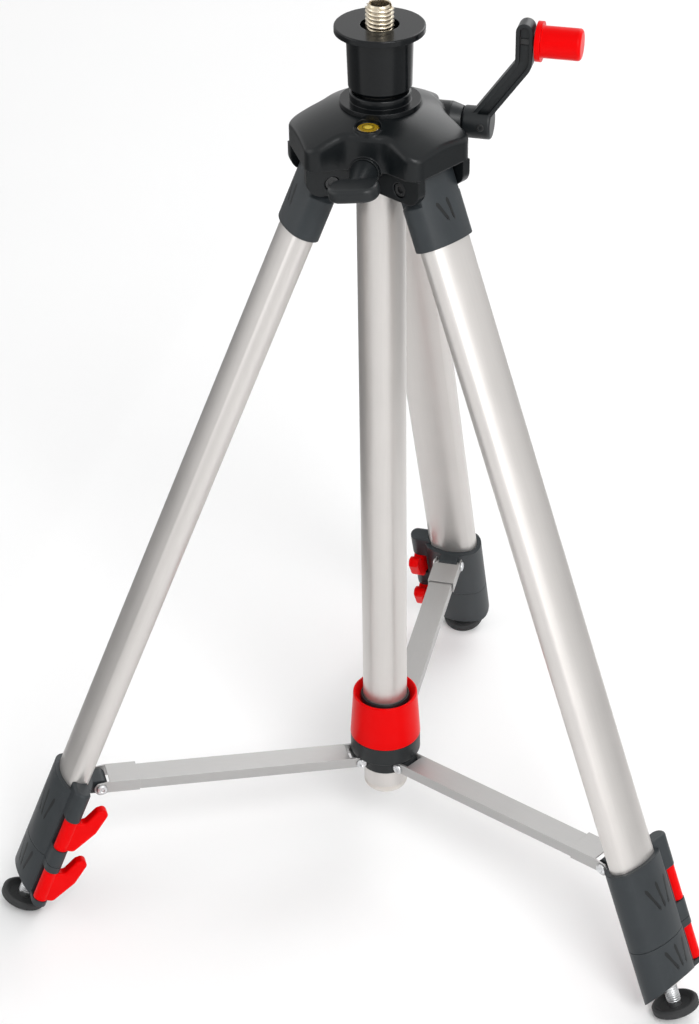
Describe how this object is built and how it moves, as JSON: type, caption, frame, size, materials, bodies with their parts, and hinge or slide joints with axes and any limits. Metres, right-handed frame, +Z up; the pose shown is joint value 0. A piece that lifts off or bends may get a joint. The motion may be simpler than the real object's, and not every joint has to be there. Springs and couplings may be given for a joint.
{
  "type": "laser level tripod",
  "caption": "Compact tripod for a laser level: geared crank column with a threaded stud, telescopic oval legs with cam levers, and a folding spreader.",
  "frame": {"origin": "on the floor, in the middle of the footprint's bounding box", "axes": "+Z up along the column, -Y to the front where the vial and lock knob are, +X to the crank"},
  "size_m": [0.4492, 0.4024, 0.5843],
  "materials": {
    "head_black": "satin black paint on cast metal",
    "grey_plastic": "dark slate moulded plastic, fine grain",
    "pale_plastic": "pale moulded plastic",
    "silver_tube": "satin anodised",
    "channel": "mill finish, lightly brushed",
    "red_plastic": "semi-gloss red",
    "stud_brass": "nickel-washed, bright",
    "dark_plate": "dark grey, semi-gloss",
    "steel": "zinc plated",
    "vial": "clear lens over yellow-green liquid",
    "rubber": "black, slightly worn"
  },
  "bodies": {
    "frame": {"head_casting": "head_black", "hinge_pins": "steel", "column_bush": "grey_plastic", "vial_cup": "head_black", "level_vial": "vial", "centre_tube": "silver_tube", "tube_plug": "pale_plastic", "crank_bearing": "grey_plastic", "clamp_shoe": "grey_plastic"},
    "column": {"column_tube": "silver_tube", "rack": "grey_plastic", "platform": "dark_plate", "stud": "stud_brass"},
    "crank": {"crank_shaft": "steel", "pinion": "steel", "crank_arm": "grey_plastic", "grip_pin": "steel"},
    "grip": {"crank_grip": "red_plastic"},
    "knob": {"lock_knob": "grey_plastic", "lock_screw": "steel"},
    "hub": {"spreader_hub": "grey_plastic", "hub_pins": "steel"},
    "ring": {"lock_ring": "red_plastic"},
    "brace_left": {"brace_left": "channel"},
    "leg_left": {"leg_cap_left": "grey_plastic", "leg_tube_left": "silver_tube", "upper_clamp_left": "grey_plastic", "brace_end_left": "channel"},
    "mid_left": {"mid_tube_left": "silver_tube", "lower_clamp_left": "grey_plastic"},
    "foot_left": {"inner_tube_left": "silver_tube", "foot_spike_left": "steel"},
    "pad_left": {"foot_pad_left": "rubber"},
    "upper_lever_left": {"upper_lever_left": "red_plastic"},
    "lower_lever_left": {"lower_lever_left": "red_plastic"},
    "brace_right": {"brace_right": "channel"},
    "leg_right": {"leg_cap_right": "grey_plastic", "leg_tube_right": "silver_tube", "upper_clamp_right": "grey_plastic", "brace_end_right": "channel"},
    "mid_right": {"mid_tube_right": "silver_tube", "lower_clamp_right": "grey_plastic"},
    "foot_right": {"inner_tube_right": "silver_tube", "foot_spike_right": "steel"},
    "pad_right": {"foot_pad_right": "rubber"},
    "upper_lever_right": {"upper_lever_right": "red_plastic"},
    "lower_lever_right": {"lower_lever_right": "red_plastic"},
    "brace_rear": {"brace_rear": "channel"},
    "leg_rear": {"leg_cap_rear": "grey_plastic", "leg_tube_rear": "silver_tube", "upper_clamp_rear": "grey_plastic", "brace_end_rear": "channel"},
    "mid_rear": {"mid_tube_rear": "silver_tube", "lower_clamp_rear": "grey_plastic"},
    "foot_rear": {"inner_tube_rear": "silver_tube", "foot_spike_rear": "steel"},
    "pad_rear": {"foot_pad_rear": "rubber"},
    "upper_lever_rear": {"upper_lever_rear": "red_plastic"},
    "lower_lever_rear": {"lower_lever_rear": "red_plastic"}
  },
  "joints": [
    {"name": "column_lift", "type": "slide", "parent": "frame", "child": "column", "axis": [0, 0, 1], "range_m": [0, 0.25]},
    {"name": "crank_turn", "type": "hinge", "parent": "frame", "child": "crank", "pos_m": [0, -0.03725, 0.51126], "axis": [-1, 0, 0], "range_deg": [0, 1791]},
    {"name": "grip_spin", "type": "hinge", "parent": "crank", "child": "grip", "pos_m": [0.0828, -0.03725, 0.56196], "axis": [1, 0, 0], "continuous": true},
    {"name": "knob_turn", "type": "hinge", "parent": "frame", "child": "knob", "pos_m": [0, -0.09545, 0.50176], "axis": [0, -1, 0], "range_deg": [0, 360]},
    {"name": "hub_slide", "type": "slide", "parent": "frame", "child": "hub", "axis": [0, 0, 1], "range_m": [0, 0.134]},
    {"name": "ring_turn", "type": "hinge", "parent": "hub", "child": "ring", "pos_m": [0, -0.05645, 0.08722], "axis": [0, 0, 1], "range_deg": [0, 90]},
    {"name": "leg_fold_left", "type": "hinge", "parent": "frame", "child": "leg_left", "pos_m": [-0.02901, -0.0732, 0.49176], "axis": [0.5, -0.866, 0], "range_deg": [0, 18.01]},
    {"name": "brace_fold_left", "type": "hinge", "parent": "hub", "child": "brace_left", "pos_m": [-0.01602, -0.0657, 0.06962], "axis": [0.5, -0.866, 0], "range_deg": [0, 96.01]},
    {"name": "upper_extend_left", "type": "slide", "parent": "leg_left", "child": "mid_left", "axis": [-0.3439, -0.1986, -0.9178], "range_m": [0, 0.34]},
    {"name": "lower_extend_left", "type": "slide", "parent": "mid_left", "child": "foot_left", "axis": [-0.3439, -0.1986, -0.9178], "range_m": [0, 0.34]},
    {"name": "pad_turn_left", "type": "hinge", "parent": "foot_left", "child": "pad_left", "pos_m": [-0.20941, -0.17735, 0.0104], "axis": [-0.3439, -0.1986, -0.9178], "continuous": true},
    {"name": "upper_lever_left", "type": "hinge", "parent": "leg_left", "child": "upper_lever_left", "pos_m": [-0.16931, -0.18365, 0.08336], "axis": [-0.3439, -0.1986, -0.9178], "range_deg": [0, 110]},
    {"name": "lower_lever_left", "type": "hinge", "parent": "mid_left", "child": "lower_lever_left", "pos_m": [-0.18324, -0.19169, 0.04619], "axis": [-0.3439, -0.1986, -0.9178], "range_deg": [0, 110]},
    {"name": "leg_fold_right", "type": "hinge", "parent": "frame", "child": "leg_right", "pos_m": [0.02901, -0.0732, 0.49176], "axis": [0.5, 0.866, 0], "range_deg": [0, 18.01]},
    {"name": "brace_fold_right", "type": "hinge", "parent": "hub", "child": "brace_right", "pos_m": [0.01602, -0.0657, 0.06962], "axis": [0.5, 0.866, 0], "range_deg": [0, 96.01]},
    {"name": "upper_extend_right", "type": "slide", "parent": "leg_right", "child": "mid_right", "axis": [0.3439, -0.1986, -0.9178], "range_m": [0, 0.34]},
    {"name": "lower_extend_right", "type": "slide", "parent": "mid_right", "child": "foot_right", "axis": [0.3439, -0.1986, -0.9178], "range_m": [0, 0.34]},
    {"name": "pad_turn_right", "type": "hinge", "parent": "foot_right", "child": "pad_right", "pos_m": [0.20941, -0.17735, 0.0104], "axis": [0.3439, -0.1986, -0.9178], "continuous": true},
    {"name": "upper_lever_right", "type": "hinge", "parent": "leg_right", "child": "upper_lever_right", "pos_m": [0.19481, -0.13948, 0.08336], "axis": [0.3439, -0.1986, -0.9178], "range_deg": [0, 110]},
    {"name": "lower_lever_right", "type": "hinge", "parent": "mid_right", "child": "lower_lever_right", "pos_m": [0.20875, -0.14752, 0.04619], "axis": [0.3439, -0.1986, -0.9178], "range_deg": [0, 110]},
    {"name": "leg_fold_rear", "type": "hinge", "parent": "frame", "child": "leg_rear", "pos_m": [0, -0.02295, 0.49176], "axis": [-1, 0, 0], "range_deg": [0, 18.01]},
    {"name": "brace_fold_rear", "type": "hinge", "parent": "hub", "child": "brace_rear", "pos_m": [0, -0.03795, 0.06962], "axis": [-1, 0, 0], "range_deg": [0, 96.01]},
    {"name": "upper_extend_rear", "type": "slide", "parent": "leg_rear", "child": "mid_rear", "axis": [0, 0.3971, -0.9178], "range_m": [0, 0.34]},
    {"name": "lower_extend_rear", "type": "slide", "parent": "mid_rear", "child": "foot_rear", "axis": [0, 0.3971, -0.9178], "range_m": [0, 0.34]},
    {"name": "pad_turn_rear", "type": "hinge", "parent": "foot_rear", "child": "pad_rear", "pos_m": [0, 0.18536, 0.0104], "axis": [0, 0.3971, -0.9178], "continuous": true},
    {"name": "upper_lever_rear", "type": "hinge", "parent": "leg_rear", "child": "upper_lever_rear", "pos_m": [-0.0255, 0.15379, 0.08336], "axis": [0, 0.3971, -0.9178], "range_deg": [0, 110]},
    {"name": "lower_lever_rear", "type": "hinge", "parent": "mid_rear", "child": "lower_lever_rear", "pos_m": [-0.0255, 0.16987, 0.04619], "axis": [0, 0.3971, -0.9178], "range_deg": [0, 110]}
  ],
  "couplings": [
    {"joint": "crank_turn", "follows": "column_lift", "rad_per_m": 125},
    {"joint": "leg_fold_left", "follows": "hub_slide", "rad_per_m": 2.3445},
    {"joint": "brace_fold_left", "follows": "hub_slide", "rad_per_m": 12.504},
    {"joint": "leg_fold_right", "follows": "hub_slide", "rad_per_m": 2.3445},
    {"joint": "brace_fold_right", "follows": "hub_slide", "rad_per_m": 12.504},
    {"joint": "leg_fold_rear", "follows": "hub_slide", "rad_per_m": 2.3445},
    {"joint": "brace_fold_rear", "follows": "hub_slide", "rad_per_m": 12.504}
  ]
}
